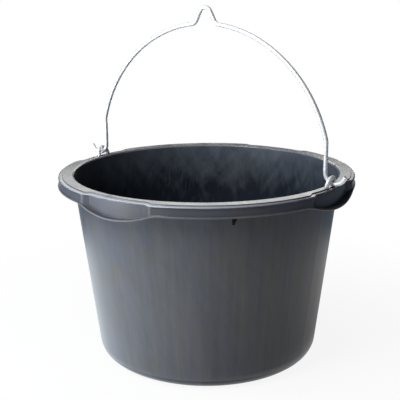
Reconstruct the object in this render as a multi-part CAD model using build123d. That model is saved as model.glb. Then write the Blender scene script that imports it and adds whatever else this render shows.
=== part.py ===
from build123d import *
import os
from math import atan2, cos, degrees, hypot, radians, sin, sqrt

os.makedirs("parts", exist_ok=True)

# A round builder's tub of about 65 litres with a wire bail for a hoist hook.
# Millimetres. The origin is on the ground at the middle of the base, +Z up.
# The bail's pivot lies along X, over two of the four niches in the rim.

# Tub moulding
tub_height = 375.0
opening_radius = 262.0
base_radius = 219.0
wall = 3.0
floor = 5.0
base_corner = 34.0
base_recess = 2.0
base_land = 20.0
mouth_round = 4.0

# Rim: a flat land, one step down to a ledge, and a skirt that hangs from the ledge
niche_depth = 8.5
niche_half_length = 62.0
niche_end_run = 15.0
niche_corner = 2.0
flange_corner = 12.0
land_inset = 7.5
land_corner = 4.5
land_round = 0.8
rim_step = 1.8
ledge_thickness = 3.2
ledge_round = 3.0
rim_overhang = 1.5
skirt_wall = 2.5
skirt_depth = 22.0
lip_proud = 2.5
lip_thickness = 3.4
lip_round = 1.2
lip_root = 1.1
sag_half_length = 84.0
sag_depth = 16.0
sag_blend = 70.0
gusset_thickness = 4.0
gusset_drop = 42.0

# Lifting eyes: round steel bows with threaded legs, a backing plate and nuts
eye_wire = 8.0
eye_spread = 14.0
eye_lean = 14.0
eye_bend = 8.0
eye_rise = 1.0
eye_hole_play = 0.3
eye_boss_wall = 2.2
eye_boss_root = 2.0
plate_hole_play = 0.2
plate_end = 8.5
plate_to_panel = 0.2
plate_to_wall = 1.5
plate_thickness = 3.0
plate_corner = 3.0
nut_across_flats = 13.0
nut_height = 6.5
nut_chamfer = 0.6
thread_play = 0.02
leg_proud = 3.0
nut_to_wall = 2.1
nut_to_panel = 0.45

# Bail: one bent wire with a hook at each end and a raised seat for the hoist hook
bail_wire = 8.0
bail_rest_gap = 1.0
hook_radius = 20.0
hook_reach = 10.0
tail_length = 8.0
tail_angle = 55.0
bail_leg_height = 77.0
bail_height = 280.0
kink_radius = 25.0
peak_rise = 30.0
peak_radius = 13.0
peak_flank = 28.0
peak_foot_radius = 14.0

# Tolerance for picking edges and corners by their place
near = 0.01

# Heights and the taper
taper = (opening_radius + wall - base_radius) / tub_height
ledge_top = tub_height - rim_step
rim_under = ledge_top - ledge_thickness
lip_under = tub_height - skirt_depth
plate_under = rim_under - plate_thickness
nut_under = plate_under - nut_height
pivot_z = tub_height + bail_rest_gap + bail_wire / 2


def wall_radius(z):
    """Outside radius of the tapered wall at a height."""
    return base_radius + taper * z


def polar(radius, angle):
    """Plan position of a point given by its radius and its angle in degrees."""
    return (radius * cos(radians(angle)), radius * sin(radians(angle)))


# Places in plan: the nuts stand between the wall and the niche's panel, and the rim goes round them
rim_root = wall_radius(rim_under)
nut_corner = nut_across_flats / sqrt(3)
eye_x = rim_root + nut_to_wall + nut_across_flats / 2
eye_boss = eye_wire / 2 + eye_hole_play + eye_boss_wall
eye_legs = [(side * eye_x, end * eye_spread) for side in (1, -1) for end in (1, -1)]
panel_inside = hypot(eye_x + nut_across_flats / 2 + nut_to_panel, eye_spread + nut_corner / 2)
niche_radius = panel_inside + skirt_wall + rim_overhang
niche_angles = (0, 90, 180, 270)
rim_radius = niche_radius + niche_depth
lip_radius = rim_radius - rim_overhang + lip_proud
hook_x = eye_x + hook_reach
leg_x = hook_x - hook_radius


def ring_of_revolution(points):
    """Turn a closed outline of (radius, z) points round the Z axis."""
    return revolve(Plane.XZ * make_face(Polyline(*points, close=True)), Axis.Z)


def end_wall(inset):
    """Angles from a niche's middle at which its end wall, set in, meets the niche and the rim circles."""
    half_out = niche_half_length + niche_end_run
    foot = Vector(sqrt(niche_radius**2 - niche_half_length**2), niche_half_length)
    along = (Vector(sqrt(rim_radius**2 - half_out**2), half_out) - foot).normalized()
    foot += Vector(-along.Y, along.X) * inset
    angles = []
    for radius in (niche_radius - inset, rim_radius - inset):
        reach = sqrt(foot.dot(along) ** 2 - foot.dot(foot) + radius**2) - foot.dot(along)
        meets = foot + along * reach
        angles.append(degrees(atan2(meets.Y, meets.X)))
    return angles


def rim_outline(inset, proud_corner):
    """Plan of the rim, set in: four flanges, drawn back over four niches with slanted ends."""
    low, high = niche_radius - inset, rim_radius - inset
    turn_in, turn_out = end_wall(inset)
    lines = []
    for start in niche_angles:
        end = start + 90
        lines.append(CenterArc((0, 0), low, start - turn_in, 2 * turn_in))
        lines.append(Line(polar(low, start + turn_in), polar(high, start + turn_out)))
        lines.append(CenterArc((0, 0), high, start + turn_out, 90 - 2 * turn_out))
        lines.append(Line(polar(high, end - turn_out), polar(low, end - turn_in)))
    outline = make_face(lines)
    hollow = [v for v in outline.vertices() if hypot(v.X, v.Y) < low + near]
    outline = fillet(hollow, niche_corner + inset)
    proud = [v for v in outline.vertices() if hypot(v.X, v.Y) > high - near]
    return fillet(proud, proud_corner)


def rim_hollow(drop):
    """Space above the rim's underside, lifted by drop: flat under the flanges, sagging under the niches."""
    size = 3 * rim_radius
    space = Pos(0, 0, lip_under + drop) * Box(size, size, size, align=(Align.CENTER, Align.CENTER, Align.MIN))
    reach = sag_half_length + sag_blend
    sag = [
        Line((-reach, 0), (-sag_half_length, 0)),
        ThreePointArc((-sag_half_length, 0), (0, -sag_depth), (sag_half_length, 0)),
        Line((sag_half_length, 0), (reach, 0)),
        Line((reach, 0), (reach, reach)),
        Line((reach, reach), (-reach, reach)),
        Line((-reach, reach), (-reach, 0)),
    ]
    profile = make_face(sag)
    bends = [v for v in profile.vertices() if abs(abs(v.X) - sag_half_length) < near]
    profile = fillet(bends, sag_blend)
    if drop:
        profile = offset(profile, -drop)
    trough = extrude(Plane.YZ * profile, size / 2)
    for angle in niche_angles:
        space += Rot(0, 0, angle) * Pos(0, 0, lip_under) * trough
    return space


def boss_roots(plan):
    """Corners where the round bosses for the eyes' legs stand out of the land's outline."""

    def on_boss(corner):
        return abs(hypot(abs(corner.X) - eye_x, abs(corner.Y) - eye_spread) - eye_boss) < near

    return plan.vertices().filter_by(on_boss)


def edges_round(shape, plan, ceiling):
    """Edges that run round the tub right over the outline of a plan, below a height."""
    line = plan.face().outer_wire()

    def runs_round(edge):
        points = [edge @ t for t in (0.2, 0.5, 0.8)]
        over = all(line.distance_to((p.X, p.Y, 0)) < near and p.Z < ceiling for p in points)
        upright = abs((edge % 0.5).Z) > 0.9
        return over and not upright

    return shape.edges().filter_by(runs_round)


def slab(face, low, high):
    """Extrude a plan from one height to another."""
    return extrude(Pos(0, 0, low) * face, high - low)


def tub():
    """The whole plastic moulding: wall, base, rim, niches and gussets."""
    body = ring_of_revolution(
        [(0, 0), (base_radius, 0), (wall_radius(tub_height), tub_height), (0, tub_height)]
    )
    body = fillet(body.edges().filter_by(GeomType.CIRCLE).group_by(Axis.Z)[0], base_corner)

    channel_inset = rim_overhang + skirt_wall
    skirt_plan = rim_outline(rim_overhang, flange_corner - rim_overhang)
    channel_plan = rim_outline(channel_inset, flange_corner - channel_inset)
    land_plan = rim_outline(land_inset, land_corner)
    land_plan += [Pos(x, y) * Circle(eye_boss) for x, y in eye_legs]
    land_plan = fillet(boss_roots(land_plan), eye_boss_root)
    land = slab(land_plan, rim_under, tub_height)
    land = fillet(land.faces().sort_by(Axis.Z)[-1].edges(), land_round)
    ledge = slab(rim_outline(0, flange_corner), rim_under, ledge_top)
    ledge = fillet(ledge.faces().sort_by(Axis.Z)[-1].edges(), ledge_round)

    under = lip_under - 2 * sag_depth
    space = rim_hollow(0)
    lip_plan = Circle(lip_radius)
    lip = slab(lip_plan - channel_plan, under, lip_under + lip_thickness) & space
    lip -= rim_hollow(lip_thickness)
    lip = fillet(edges_round(lip, lip_plan, tub_height), lip_round)
    skirt = slab(skirt_plan - channel_plan, under, rim_under) & rim_hollow(lip_thickness / 2)
    rim = skirt + lip
    rim = fillet(edges_round(rim, skirt_plan, rim_under - near), lip_root)
    body += [land, ledge, rim]

    gusset_outline = [
        (rim_root - wall / 2, rim_under),
        (rim_radius - rim_overhang - skirt_wall / 2, rim_under),
        (rim_radius - rim_overhang - skirt_wall / 2, lip_under + lip_thickness),
        (wall_radius(tub_height - gusset_drop) - wall / 2, tub_height - gusset_drop),
    ]
    gusset_face = Plane.XZ * make_face(Polyline(*gusset_outline, close=True))
    gusset = extrude(gusset_face, gusset_thickness / 2, both=True)
    for angle in niche_angles:
        body += Rot(0, 0, angle + 45) * gusset

    foot_radius = base_radius - base_corner - base_land
    cavity_base = opening_radius - taper * (tub_height - floor)
    cavity = ring_of_revolution(
        [(0, floor), (cavity_base, floor), (opening_radius, tub_height), (0, tub_height)]
    )
    cavity = fillet(cavity.edges().filter_by(GeomType.CIRCLE).group_by(Axis.Z)[0], base_corner - wall)
    body -= cavity
    body -= Cylinder(foot_radius, base_recess, align=(Align.CENTER, Align.CENTER, Align.MIN))
    hole = Cylinder(eye_wire / 2 + eye_hole_play, 3 * (tub_height - rim_under))
    for x, y in eye_legs:
        body -= Pos(x, y, tub_height) * hole
    mouth = body.edges().filter_by(GeomType.CIRCLE).filter_by(lambda e: abs(e.radius - opening_radius) < near)
    return fillet(mouth.sort_by(Axis.Z)[-1], mouth_round)


def eye_bow(side):
    """A lifting eye: half round, leaning out over the niche, with two straight legs down through the rim."""
    lean = radians(eye_lean)

    def at(out, along, z):
        return (side * (eye_x + out), along, z)

    def half(end):
        along = end * eye_spread
        foot = at(0, along, nut_under - leg_proud)
        root = at(0, along, tub_height)
        middle = at(eye_bend * (1 - cos(lean / 2)), along, tub_height + eye_bend * sin(lean / 2))
        top = at(eye_bend * (1 - cos(lean)), along, tub_height + eye_bend * sin(lean))
        crown_foot = Vector(*top) + Vector(side * sin(lean), 0, cos(lean)) * eye_rise
        return [Line(foot, root), ThreePointArc(root, middle, top), Line(top, crown_foot)]

    near_half, far_half = half(-1), half(1)
    near_top, far_top = near_half[-1] @ 1, far_half[-1] @ 1
    summit = (near_top + far_top) / 2 + Vector(side * sin(lean), 0, cos(lean)) * eye_spread
    crown = ThreePointArc(near_top, summit, far_top)
    path = Wire(near_half + [crown] + far_half)
    return sweep(Plane(near_half[0] @ 0, z_dir=(0, 0, 1)) * Circle(eye_wire / 2), path)


def backing_plate(side):
    """A steel strap under the rim that spreads the pull of the two nuts."""
    half_length = eye_spread + plate_end
    inner = rim_root + plate_to_wall
    outer = sqrt(panel_inside**2 - half_length**2) - plate_to_panel
    plan = Pos(side * (inner + outer) / 2, 0) * Rectangle(outer - inner, 2 * half_length)
    plan = fillet(plan.vertices(), plate_corner)
    for end in (1, -1):
        plan -= Pos(side * eye_x, end * eye_spread) * Circle(eye_wire / 2 + plate_hole_play)
    return slab(plan, plate_under, rim_under)


def nut():
    """A hexagon nut with broken corners, its flats facing the niche panel."""
    body = extrude(RegularPolygon(nut_corner, 6, rotation=30), nut_height)
    rounding = Cylinder(nut_corner, nut_height, align=(Align.CENTER, Align.CENTER, Align.MIN))
    rounding = chamfer(rounding.edges().filter_by(GeomType.CIRCLE), nut_chamfer)
    bore = Cylinder(eye_wire / 2 + thread_play, 3 * nut_height)
    return (body & rounding) - bore


def bail():
    """One wire bent in a plane: tail, hook, leg and arch up to a raised seat, then the same back."""
    hook_z = pivot_z + hook_radius
    turn = radians(tail_angle)
    tail_root = (hook_x + hook_radius * sin(turn), hook_z - hook_radius * cos(turn))
    tail_end = (tail_root[0] + tail_length * cos(turn), tail_root[1] + tail_length * sin(turn))
    hook_low = (hook_x, pivot_z)
    leg_foot = (leg_x, hook_z)

    rise = bail_height - bail_leg_height
    arch_radius = (leg_x**2 + rise**2) / (2 * rise)
    arch_z = pivot_z + bail_height - arch_radius
    peak_z = pivot_z + bail_height + peak_rise - peak_radius

    # The leg meets the arch at a kink, rounded by an arc that touches both
    kink_x = leg_x - kink_radius
    kink_z = arch_z + sqrt((arch_radius - kink_radius) ** 2 - kink_x**2)
    kink_low = (leg_x, kink_z)
    kink_turn = atan2(kink_z - arch_z, kink_x)
    kink_high = (arch_radius * cos(kink_turn), arch_z + arch_radius * sin(kink_turn))
    kink_mid = (kink_x + kink_radius * cos(kink_turn / 2), kink_z + kink_radius * sin(kink_turn / 2))

    # The flank of the raised seat meets the arch in a hollow arc outside it
    lean = radians(peak_flank)
    flank_top = (peak_radius * cos(lean), peak_z + peak_radius * sin(lean))
    away = (cos(lean), sin(lean))
    along = (sin(lean), -cos(lean))
    reach = arch_radius + peak_foot_radius
    start = (
        flank_top[0] + away[0] * peak_foot_radius,
        flank_top[1] + away[1] * peak_foot_radius - arch_z,
    )
    ahead = start[0] * along[0] + start[1] * along[1]
    travel = -ahead - sqrt(ahead**2 - (start[0] ** 2 + start[1] ** 2 - reach**2))
    foot_x = start[0] + travel * along[0]
    foot_z = start[1] + travel * along[1] + arch_z
    flank_low = (flank_top[0] + travel * along[0], flank_top[1] + travel * along[1])
    foot_turn = atan2(foot_z - arch_z, foot_x)
    arch_end = (arch_radius * cos(foot_turn), arch_z + arch_radius * sin(foot_turn))
    arch_turn = (kink_turn + foot_turn) / 2
    arch_mid = (arch_radius * cos(arch_turn), arch_z + arch_radius * sin(arch_turn))
    hollow_turn = (foot_turn + lean) / 2
    hollow_mid = (foot_x - peak_foot_radius * cos(hollow_turn), foot_z - peak_foot_radius * sin(hollow_turn))

    def half(side):
        def at(point):
            return (side * point[0], 0, point[1])

        return [
            Line(at(tail_end), at(tail_root)),
            ThreePointArc(at(tail_root), at(hook_low), at(leg_foot)),
            Line(at(leg_foot), at(kink_low)),
            ThreePointArc(at(kink_low), at(kink_mid), at(kink_high)),
            ThreePointArc(at(kink_high), at(arch_mid), at(arch_end)),
            ThreePointArc(at(arch_end), at(hollow_mid), at(flank_low)),
            Line(at(flank_low), at(flank_top)),
        ]

    crest = ThreePointArc(
        (flank_top[0], 0, flank_top[1]), (0, 0, peak_z + peak_radius), (-flank_top[0], 0, flank_top[1])
    )
    path = Wire(half(1) + [crest] + half(-1))
    section = Plane((tail_end[0], 0, tail_end[1]), z_dir=(-cos(turn), 0, -sin(turn))) * Circle(bail_wire / 2)
    print("bail wire length", round(path.length, 1), "pivot height", pivot_z)
    return sweep(section, path)


export_step(tub(), "parts/tub.step")
export_step(bail(), "parts/bail.step")
for name, side in (("right", 1), ("left", -1)):
    export_step(eye_bow(side), f"parts/eye_{name}.step")
    export_step(backing_plate(side), f"parts/backing_plate_{name}.step")
nuts = [Pos(x, y, nut_under) * nut() for x, y in eye_legs]
export_step(Compound(nuts), "parts/eye_nuts.step")
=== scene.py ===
from math import cos, pi, radians, sin

import bpy
from mathutils import Matrix, Vector


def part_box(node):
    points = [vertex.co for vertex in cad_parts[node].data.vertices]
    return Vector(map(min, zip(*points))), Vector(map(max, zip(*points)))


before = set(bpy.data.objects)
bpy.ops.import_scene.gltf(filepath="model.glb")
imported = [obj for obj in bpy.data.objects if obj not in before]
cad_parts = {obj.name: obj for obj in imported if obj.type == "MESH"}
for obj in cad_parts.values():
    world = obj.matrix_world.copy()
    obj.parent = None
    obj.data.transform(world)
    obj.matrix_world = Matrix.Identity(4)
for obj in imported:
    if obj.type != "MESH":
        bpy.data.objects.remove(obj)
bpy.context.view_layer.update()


# Tub: one injection moulding of black polyethylene, with a satin skin and upright marks where it flowed.
# Mortar and shovels have smeared and scuffed the inside; its dark colour is painted shade, lighter near the
# mouth.
# Hands and planks have rubbed the rim's round edges, which are also painted paler as a highlight. A painted
# highlight lies on the ledge's edge on the side facing the lamps, and painted shade on the gussets under it.
tub_cool = (0.054, 0.059, 0.077)
tub_warm = (0.063, 0.063, 0.064)
tub_stained = (0.060, 0.059, 0.051)
# The inside's colour is painted shade: a far darker copy of the same plastic.
tub_shaded_inside = (0.010, 0.014, 0.021)
tub_scuffed = (0.078, 0.095, 0.122)
# Paler rubbed smudges and edges; on the mouth and lip edges partly a painted highlight.
tub_rubbed_and_highlit = (0.20, 0.21, 0.225)
# Painted highlight on the ledge's edge.
painted_ledge_highlight = (0.40, 0.43, 0.48)
# Painted shade on the gussets under the rim.
gusset_shade_colour = (0.003, 0.003, 0.004)
mark_shade = (0.70, 1.30)
satin_roughness = (0.30, 0.34)
scuffed_roughness = (0.34, 0.52)
rubbed_roughness = (0.10, 0.24)
outer_sheen = 0.5
inner_sheen = 0.3
gusset_shade_sheen = 0.1
plastic_ior = 1.5
relief_depth = 0.0006
tub_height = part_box("tub")[1].z
base_radius = 0.219
floor_radius = 0.185
mouth_radius = 0.262
mouth_round = 0.004
wall = 0.003
floor_top = 0.005
rim_step = 0.0018
rim_depth = 0.014
ledge_round = 0.003
ledge_foot = tub_height - rim_step - ledge_round
skirt_depth = 0.04
lip_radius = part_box("tub")[1].x
lip_depth = 0.004
gusset_thickness = 0.004
gusset_drop = 0.042
# Depth below the mouth over which painted shade darkens the inside.
painted_shade_depth = 0.10
edge_blur = 0.0005
# The side facing the lamps, where the painted ledge highlight is strongest.
lit_side = (0.15, -0.99, 0)


def node(tree, kind, inputs=None, **settings):
    """Add a shader node with its own settings, then fill its inputs with values or other nodes' outputs."""
    made = tree.nodes.new(kind)
    for name, value in settings.items():
        setattr(made, name, value)
    for key, value in (inputs or {}).items():
        if isinstance(value, bpy.types.NodeSocket):
            tree.links.new(value, made.inputs[key])
        else:
            made.inputs[key].default_value = value
    return made


def new_material(name):
    """Make a material and return it with its tree, its shader and the piece's own coordinates."""
    made = bpy.data.materials.new(name)
    made.use_nodes = True
    tree = made.node_tree
    place = node(tree, "ShaderNodeTexCoord").outputs["Object"]
    return made, tree, tree.nodes["Principled BSDF"], place


def times(tree, first, *others):
    """Multiply values together."""
    for other in others:
        first = node(tree, "ShaderNodeMath", {0: first, 1: other}, operation="MULTIPLY").outputs[0]
    return first


def weighted(tree, *parts, start=0.0):
    """Add values up from a start, each times its own weight."""
    for value, weight in parts:
        inputs = {0: value, 1: weight, 2: start}
        start = node(tree, "ShaderNodeMath", inputs, operation="MULTIPLY_ADD").outputs[0]
    return start


def larger(tree, first, second):
    return node(tree, "ShaderNodeMath", {0: first, 1: second}, operation="MAXIMUM").outputs[0]


def vector(tree, operation, inputs):
    return node(tree, "ShaderNodeVectorMath", inputs, operation=operation).outputs["Vector"]


def measure(tree, operation, inputs):
    """The single number that a vector gives: its length, or how far it points along another."""
    return node(tree, "ShaderNodeVectorMath", inputs, operation=operation).outputs["Value"]


def spread(tree, value, low, high, out_low=0.0, out_high=1.0):
    """Stretch the part of a value between low and high over the output range, and hold it at the ends."""
    inputs = {"Value": value, 1: low, 2: high, 3: out_low, 4: out_high}
    return node(tree, "ShaderNodeMapRange", inputs).outputs[0]


def between(tree, amount, first, second):
    """Mix two numbers."""
    return node(tree, "ShaderNodeMix", {0: amount, 2: first, 3: second}).outputs[0]


def blend(tree, amount, first, second):
    """Mix two colours, each a value or another node's output."""
    colours = [c if isinstance(c, bpy.types.NodeSocket) else (*c, 1) for c in (first, second)]
    inputs = {0: amount, 6: colours[0], 7: colours[1]}
    return node(tree, "ShaderNodeMix", inputs, data_type="RGBA").outputs[2]


def noise(tree, place, scale, detail=3.0, rough=0.55, waver=0.0):
    inputs = {"Vector": place, "Scale": scale, "Detail": detail, "Roughness": rough, "Distortion": waver}
    return node(tree, "ShaderNodeTexNoise", inputs).outputs["Fac"]


def emboss(tree, shader, relief, strength, depth):
    """Let a relief stand out of the surface."""
    bump = node(tree, "ShaderNodeBump", {"Strength": strength, "Distance": depth, "Height": relief})
    tree.links.new(bump.outputs[0], shader.inputs["Normal"])


class TubSkin:
    """A point of the tub's skin: its height, its distance from the axis and its direction round the wall."""

    def __init__(self, tree, place):
        self.tree = tree
        self.place = place
        self.height = node(tree, "ShaderNodeSeparateXYZ", {0: place}).outputs["Z"]
        level = vector(tree, "MULTIPLY", {0: place, 1: (1, 1, 0)})
        self.radius = measure(tree, "LENGTH", {0: level})
        inputs = {0: 1.0, 1: larger(tree, self.radius, floor_radius)}
        per_radius = node(tree, "ShaderNodeMath", inputs, operation="DIVIDE").outputs[0]
        self.round_wall = vector(tree, "SCALE", {0: level, "Scale": per_radius})

    def streaks(self, climb, scale, detail, rough=0.55, slant=0.0, waver=0.0):
        """Noise round the wall, drawn out upwards by a small climb and made to lean by a slant."""
        turned = self.round_wall
        if slant:
            inputs = {"Vector": turned, "Angle": times(self.tree, self.height, slant)}
            turned = node(self.tree, "ShaderNodeVectorRotate", inputs, rotation_type="Z_AXIS").outputs[0]
        up = node(self.tree, "ShaderNodeCombineXYZ", {"Z": times(self.tree, self.height, climb)}).outputs[0]
        return noise(self.tree, vector(self.tree, "ADD", {0: turned, 1: up}), scale, detail, rough, waver)


def inner_side(skin):
    """The inside lies within the middle of the wall and above the floor."""
    tree = skin.tree
    taper = (mouth_radius + wall - base_radius) / tub_height
    depth = weighted(tree, (skin.height, taper), (skin.radius, -1.0), start=base_radius - wall / 2)
    above_floor = spread(tree, skin.height, 0.6 * floor_top, 0.8 * floor_top)
    return times(tree, spread(tree, depth, -0.8 * edge_blur, 0.8 * edge_blur), above_floor)


def rubbed_and_highlit_edges(skin):
    """Paler round edges at the mouth, and more lightly the lip at the skirt's foot: partly wear from hands,
    partly a painted highlight.
    """
    tree = skin.tree
    at_mouth = spread(tree, skin.radius, mouth_radius + 1.1 * mouth_round, mouth_radius + 0.6 * mouth_round)
    at_top = spread(tree, skin.height, tub_height - mouth_round, tub_height - 0.8 * mouth_round)
    lip = spread(tree, skin.radius, lip_radius - 1.6 * edge_blur, lip_radius - 0.6 * edge_blur, 0.0, 0.3)
    return larger(tree, times(tree, at_mouth, at_top), lip)


def ledge_highlight_mask(skin):
    """A painted highlight on the ledge's round edge, strongest where it faces the lamps on the front left.
    """
    tree = skin.tree
    above_foot = spread(tree, skin.height, ledge_foot + 0.4 * ledge_round, ledge_foot + 0.7 * ledge_round)
    below_land = spread(tree, skin.height, tub_height - 0.7 * rim_step, tub_height - 0.9 * rim_step)
    facing = measure(tree, "DOT_PRODUCT", {0: skin.round_wall, 1: lit_side})
    return times(tree, above_foot, below_land, spread(tree, facing, 0.5, 1.0, 0.1, 1.0))


def painted_gusset_shade(skin, inside):
    """Painted shade on the gussets, which stand on the diagonals, between the lip and the wall, and reach up
    to the rim.
    """
    tree = skin.tree
    gusset_foot = tub_height - gusset_drop
    quarter = vector(tree, "ABSOLUTE", {0: skin.place})
    aside = measure(tree, "DOT_PRODUCT", {0: quarter, 1: (1, -1, 0)})
    off_diagonal = larger(tree, aside, weighted(tree, (aside, -1.0)))
    on_gusset = spread(tree, off_diagonal, 0.90 * gusset_thickness, 0.78 * gusset_thickness)
    above_foot = spread(tree, skin.height, gusset_foot - 2 * edge_blur, gusset_foot)
    behind_lip = spread(tree, skin.radius, lip_radius - lip_depth, lip_radius - lip_depth - 2 * edge_blur)
    under_rim = spread(tree, skin.height, tub_height - rim_depth, tub_height - rim_depth - 4 * edge_blur)
    outside = spread(tree, inside, 0.0, 1.0, 1.0, 0.0)
    return times(tree, on_gusset, above_foot, behind_lip, under_rim, outside)


def tub_plastic():
    made, tree, shader, place = new_material("tub_plastic")
    skin = TubSkin(tree, place)
    inside = inner_side(skin)
    gusset_shade = painted_gusset_shade(skin, inside)

    # Wall: broad and fine streaks and slanting scrapes, all fainter up on the rim
    flow = skin.streaks(climb=0.25, scale=18.0, detail=1.0, rough=0.5)
    hair = skin.streaks(climb=0.3, scale=70.0, detail=1.0, rough=0.5)
    scrape = skin.streaks(climb=1.2, scale=16.0, detail=5.0, rough=0.65, slant=1.6)
    on_wall = spread(tree, skin.height, tub_height - skirt_depth, tub_height - skirt_depth / 2, 1.0, 0.25)
    marks = weighted(tree, (flow, 0.45), (hair, 0.20), (scrape, 0.35), start=-0.5)
    marks = times(tree, marks, on_wall)
    tint = skin.streaks(climb=0.7, scale=6.0, detail=1.5, rough=0.5)
    stain = noise(tree, place, scale=17.0, detail=4.0, rough=0.6)
    colour = blend(tree, spread(tree, tint, 0.25, 0.75), tub_cool, tub_warm)
    colour = blend(tree, spread(tree, stain, 0.54, 0.68, 0.0, 0.8), colour, tub_stained)
    shade = spread(tree, marks, -0.25, 0.25, *mark_shade)
    outer = vector(tree, "SCALE", {0: colour, "Scale": shade})

    # Inside: smears, slanting brush and shovel marks and patches of scratches; painted shade darkens them
    # deep down and lightens them near the mouth
    smear = skin.streaks(climb=2.2, scale=7.0, detail=6.0, rough=0.62, waver=0.8)
    brush = skin.streaks(climb=1.5, scale=13.0, detail=4.0, rough=0.6, slant=3.2)
    drag = skin.streaks(climb=1.2, scale=18.0, detail=3.0, slant=-2.0)
    line = skin.streaks(climb=0.05, scale=230.0, detail=1.0, slant=0.35)
    patchy = noise(tree, place, scale=9.0, detail=2.0)
    scratch = times(tree, spread(tree, line, 0.66, 0.72), spread(tree, patchy, 0.50, 0.60), 0.8)
    scuffs = weighted(tree, (brush, 0.26), (drag, 0.20), (smear, 0.54))
    painted_shade_top = tub_height - 0.05 * painted_shade_depth
    # Painted shade: the inside is lighter near the mouth and darker further down.
    painted_depth_shade = spread(tree, skin.height, tub_height - painted_shade_depth, painted_shade_top, -0.12, 0.24)
    worn_and_shaded = spread(tree, weighted(tree, (scuffs, 1.0), start=painted_depth_shade), 0.38, 0.80)
    worn_and_shaded = larger(tree, worn_and_shaded, scratch)
    # The inside's dark base colour is painted shade.
    inner = blend(tree, worn_and_shaded, tub_shaded_inside, tub_scuffed)

    # Rim: smudged on top, and paler along its edges, partly from rubbing and partly as a painted highlight
    top = spread(tree, skin.height, ledge_foot, ledge_foot + edge_blur)
    smudged = times(tree, top, spread(tree, smear, 0.45, 0.65, 0.0, 0.4))
    rubbed_and_highlit = times(tree, rubbed_and_highlit_edges(skin), spread(tree, hair, 0.3, 0.6, 0.6, 1.0))
    colour = blend(tree, inside, outer, inner)
    # Paler rim edges: partly rubbed wear, partly painted highlight.
    colour = blend(tree, larger(tree, smudged, rubbed_and_highlit), colour, tub_rubbed_and_highlit)
    # Painted highlight on the ledge's edge, on the side facing the lamps.
    colour = blend(tree, ledge_highlight_mask(skin), colour, painted_ledge_highlight)
    # Painted shade: near-black on the gussets under the rim.
    colour = blend(tree, gusset_shade, colour, gusset_shade_colour)
    tree.links.new(colour, shader.inputs["Base Color"])

    satin = spread(tree, marks, -0.25, 0.25, *satin_roughness)
    satin = weighted(tree, (spread(tree, tint, 0.3, 0.7), 0.03), start=satin)
    roughness = between(tree, inside, satin, spread(tree, worn_and_shaded, 0.0, 1.0, *scuffed_roughness))
    roughness = between(tree, top, roughness, spread(tree, smear, 0.3, 0.7, *rubbed_roughness))
    tree.links.new(roughness, shader.inputs["Roughness"])

    sheen = spread(tree, inside, 0.0, 1.0, outer_sheen, inner_sheen)
    sheen = times(tree, sheen, spread(tree, gusset_shade, 0.0, 1.0, 1.0, gusset_shade_sheen))
    tree.links.new(sheen, shader.inputs["Specular IOR Level"])
    shader.inputs["IOR"].default_value = plastic_ior

    grain = noise(tree, place, scale=900.0, detail=2.0)
    relief = weighted(tree, (between(tree, inside, marks, scuffs), 0.4), (grain, 0.15))
    emboss(tree, shader, relief, strength=0.25, depth=relief_depth)
    return made


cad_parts["tub"].material_slots[0].material = tub_plastic()


# Eyes: bows bent from round steel and hot dipped in zinc, which leaves faint spangles and cloudy patches.
# Their threaded legs go down through holes in the rim, at two opposite niches.
zinc_bright = (0.92, 0.93, 0.94)
zinc_dull = (0.68, 0.69, 0.71)
zinc_roughness = (0.50, 0.36)
zinc_metallic = 0.45
zinc_relief = 0.0002


def zinc_coat():
    made, tree, shader, place = new_material("zinc_wire")
    spangle = node(tree, "ShaderNodeTexVoronoi", {"Vector": place, "Scale": 420.0}).outputs["Color"]
    cloud = noise(tree, place, scale=120.0, detail=4.0, rough=0.6)
    tone = weighted(tree, (spangle, 0.25), (cloud, 0.75))
    colour = blend(tree, spread(tree, tone, 0.3, 0.7), zinc_dull, zinc_bright)
    tree.links.new(colour, shader.inputs["Base Color"])
    tree.links.new(spread(tree, tone, 0.3, 0.7, *zinc_roughness), shader.inputs["Roughness"])
    shader.inputs["Metallic"].default_value = zinc_metallic
    grain = noise(tree, place, scale=2400.0, detail=2.0)
    emboss(tree, shader, grain, strength=0.2, depth=zinc_relief)
    return made


zinc = zinc_coat()
for name in ("eye_right", "eye_left"):
    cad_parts[name].material_slots[0].material = zinc


# Backing plates and nuts: punched strap and hexagon nuts of mild steel, electroplated with zinc.
# The plates lie under the rim, out of the weather, and the nuts on the eyes' legs draw them up against it.
plating_clear = (0.66, 0.67, 0.68)
plating_yellow = (0.60, 0.57, 0.47)
plating_roughness = (0.30, 0.45)
plating_metallic = 0.9
plating_relief = 0.0002
brush_stretch = (1, 1, 12)


def zinc_plate():
    made, tree, shader, place = new_material("plated_steel")
    film = noise(tree, place, scale=70.0, rough=0.6)
    colour = blend(tree, spread(tree, film, 0.35, 0.7), plating_clear, plating_yellow)
    tree.links.new(colour, shader.inputs["Base Color"])
    drawn_out = node(tree, "ShaderNodeMapping", {"Vector": place, "Scale": brush_stretch}).outputs[0]
    brushed = noise(tree, drawn_out, scale=300.0, detail=2.0)
    tree.links.new(spread(tree, brushed, 0.3, 0.7, *plating_roughness), shader.inputs["Roughness"])
    shader.inputs["Metallic"].default_value = plating_metallic
    emboss(tree, shader, brushed, strength=0.15, depth=plating_relief)
    return made


plating = zinc_plate()
for name in ("backing_plate_right", "backing_plate_left", "eye_nuts"):
    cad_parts[name].material_slots[0].material = plating


# Bail: one length of steel wire, bent to an arch with a raised seat for a hoist hook and dipped in zinc.
# A hook at each end, with a splayed tail, sits in an eye, so that the bail swings over to either side.
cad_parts["bail"].material_slots[0].material = zinc


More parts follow.
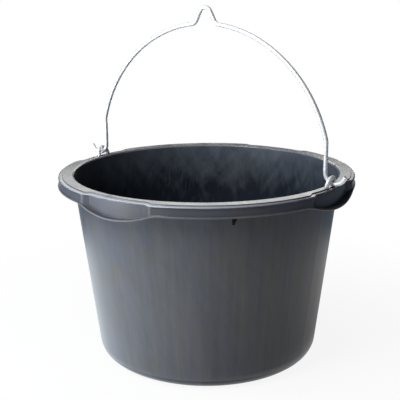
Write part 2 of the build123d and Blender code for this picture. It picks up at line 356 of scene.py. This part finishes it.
# Studio: a plain pale floor of paper that runs out of sight under a white backdrop, in a dark room.
# In reflections only, the floor glows as a painted table: bright left, painted tub shadow right, bright at
# the foot, dark far out.
# Bearings are cosines of the angle from behind the tub or from its right, and the backdrop's heights sines.
floor_size = 12.0
floor_white = 0.9
floor_roughness = 0.9
shadow_reach = 0.9
shadow_seen = 0.1
# Painted reflection colours of the floor, seen only by glossy rays.
painted_table_reach = 0.7
painted_table_left = (1.76, 1.92, 2.06)
painted_table_right = (0.78, 0.77, 0.76)
painted_table_shadow = (0.42, 0.42, 0.42)
painted_table_foot = (0.95, 0.95, 0.95)
left_bearings = (0.1, -0.9)
shaded_radii = (0.25, 0.6)
foot_radii = (0.22, 0.27)
painted_room_floor = (0.15, 0.20, 0.27)
room_dark = 0.03
backdrop_white = (1, 1, 1)
backdrop_bearings = (0.75, 0.9)
backdrop_radii = (0.5, 0.9)
backdrop_heights = (0.2, 0.235)
view_turn = radians(34.8)
image_right = Vector((cos(view_turn), sin(view_turn), 0))
image_away = Vector((-sin(view_turn), cos(view_turn), 0))


def floor_paper():
    made, tree, shader, place = new_material("floor_paper")
    shader.inputs["Base Color"].default_value = (floor_white, floor_white, floor_white, 1)
    shader.inputs["Roughness"].default_value = floor_roughness
    far = measure(tree, "LENGTH", {0: place})
    bearing = vector(tree, "NORMALIZE", {0: place})
    behind = measure(tree, "DOT_PRODUCT", {0: bearing, 1: image_away})
    aside = measure(tree, "DOT_PRODUCT", {0: bearing, 1: image_right})
    # Painted reflection: glossy rays see the floor glow with this table and room instead of its lit paper.
    painted_table = blend(tree, spread(tree, far, *shaded_radii), painted_table_shadow, painted_table_right)
    painted_table = blend(tree, spread(tree, far, *foot_radii), painted_table_foot, painted_table)
    painted_table = blend(tree, spread(tree, aside, *left_bearings), painted_table, painted_table_left)
    painted_reflection = blend(tree, spread(tree, far, painted_table_reach, shadow_reach), painted_table, painted_room_floor)
    backdrop = times(tree, spread(tree, behind, *backdrop_bearings), spread(tree, far, *backdrop_radii))
    painted_reflection = blend(tree, backdrop, painted_reflection, backdrop_white)

    light_path = node(tree, "ShaderNodeLightPath").outputs
    shown = blend(tree, light_path["Is Camera Ray"], painted_reflection, backdrop_white)
    glow = node(tree, "ShaderNodeEmission", {"Color": shown, "Strength": 1.0})
    unshadowed = spread(tree, far, 0.3 * shadow_reach, shadow_reach, 1.0 - shadow_seen, 1.0)
    reflected = larger(tree, light_path["Is Glossy Ray"], light_path["Is Transmission Ray"])
    seen = larger(tree, times(tree, light_path["Is Camera Ray"], unshadowed), reflected)
    mixed = node(tree, "ShaderNodeMixShader", {0: seen, 1: shader.outputs[0], 2: glow.outputs[0]})
    tree.links.new(mixed.outputs[0], tree.nodes["Material Output"].inputs["Surface"])
    return made


def studio_world():
    made = bpy.data.worlds.new("studio")
    made.use_nodes = True
    tree = made.node_tree
    background = tree.nodes["Background"]
    background.inputs["Color"].default_value = (*backdrop_white, 1)
    direction = node(tree, "ShaderNodeTexCoord").outputs["Generated"]
    behind = measure(tree, "DOT_PRODUCT", {0: direction, 1: image_away})
    rise = node(tree, "ShaderNodeSeparateXYZ", {0: direction}).outputs["Z"]
    backdrop = times(tree, spread(tree, behind, *backdrop_bearings), spread(tree, rise, *backdrop_heights))
    light_path = node(tree, "ShaderNodeLightPath").outputs
    reflected = larger(tree, light_path["Is Glossy Ray"], light_path["Is Transmission Ray"])
    seen = larger(tree, light_path["Is Camera Ray"], times(tree, reflected, backdrop))
    tree.links.new(larger(tree, seen, room_dark), background.inputs["Strength"])
    return made


bpy.ops.object.select_all(action="DESELECT")
bpy.ops.mesh.primitive_plane_add(size=floor_size)
floor = bpy.context.object
floor.name = "floor"
floor.data.materials.append(floor_paper())
bpy.context.scene.world = studio_world()


# Lamps: six soft boxes. A low one on the left brightens that edge of the wall, a large one in front lights
# the whole wall, one high on the left lights the inside and the land of the rim, and three weak ones
# behind and above lift the edges.
cool = (0.80, 0.87, 1.0)
neutral = (1.0, 0.99, 0.975)
rim_top = Vector((0, 0, tub_height))
tub_middle = rim_top / 2


def seen_at(right, away, up):
    """A place given as the photograph sees it: to the right, away from the viewer and up."""
    return image_right * right + image_away * away + Vector((0, 0, up))


def soft_box(name, size, watts, tint, place, aim):
    """A rectangular soft lamp at a place, turned to face a point and kept out of the picture."""
    lamp = bpy.data.lights.new(name, "AREA")
    lamp.shape = "RECTANGLE"
    lamp.size, lamp.size_y = size
    lamp.energy = watts
    lamp.color = tint
    holder = bpy.data.objects.new(name, lamp)
    bpy.context.scene.collection.objects.link(holder)
    holder.location = place
    holder.rotation_euler = (aim - place).to_track_quat("-Z", "Y").to_euler()
    holder.visible_camera = False


soft_box("key_left", (1.3, 0.4), 21.0, cool, seen_at(-1.6, -0.65, 0.28), tub_middle)
soft_box("front_left", (0.9, 0.9), 42.0, neutral, seen_at(-1.25, -1.3, 1.75), tub_middle)
soft_box("window_left", (0.9, 0.7), 18.0, cool, seen_at(-1.8, -0.15, 1.9), rim_top)
soft_box("back_glow", (2.0, 0.4), 3.9, neutral, seen_at(0.0, 2.4, 1.12), rim_top)
soft_box("overhead", (1.2, 1.2), 4.0, neutral, seen_at(-0.2, -0.3, 2.2), rim_top)
soft_box("back_low", (1.6, 0.3), 10.0, neutral, seen_at(0.2, 2.2, 0.2), tub_middle)


# Camera: stands in front of one flange, a third of a metre above the rim, and looks down at the tub's axis
# just below the mouth. Its distance is from the middle of the mouth. Lens and film are in millimetres.
view_rise = radians(12.35)
view_distance = 1.6527
view_heading = radians(0.47)
view_tilt = radians(14.5)
view_roll = radians(-0.53)
view_lens = 74.3
film_width = 36.0

camera = bpy.data.objects.new("camera", bpy.data.cameras.new("camera"))
bpy.context.scene.collection.objects.link(camera)
bpy.context.scene.camera = camera
camera.data.lens = view_lens
camera.data.sensor_width = film_width
turn = Matrix.Rotation(view_turn + view_heading, 4, "Z") @ Matrix.Rotation(pi / 2 - view_tilt, 4, "X")
turn = turn @ Matrix.Rotation(view_roll, 4, "Z")
out = seen_at(0, -cos(view_rise), sin(view_rise)) * view_distance
camera.matrix_world = Matrix.Translation(rim_top + out) @ turn

bpy.context.scene.view_settings.view_transform = "Standard"
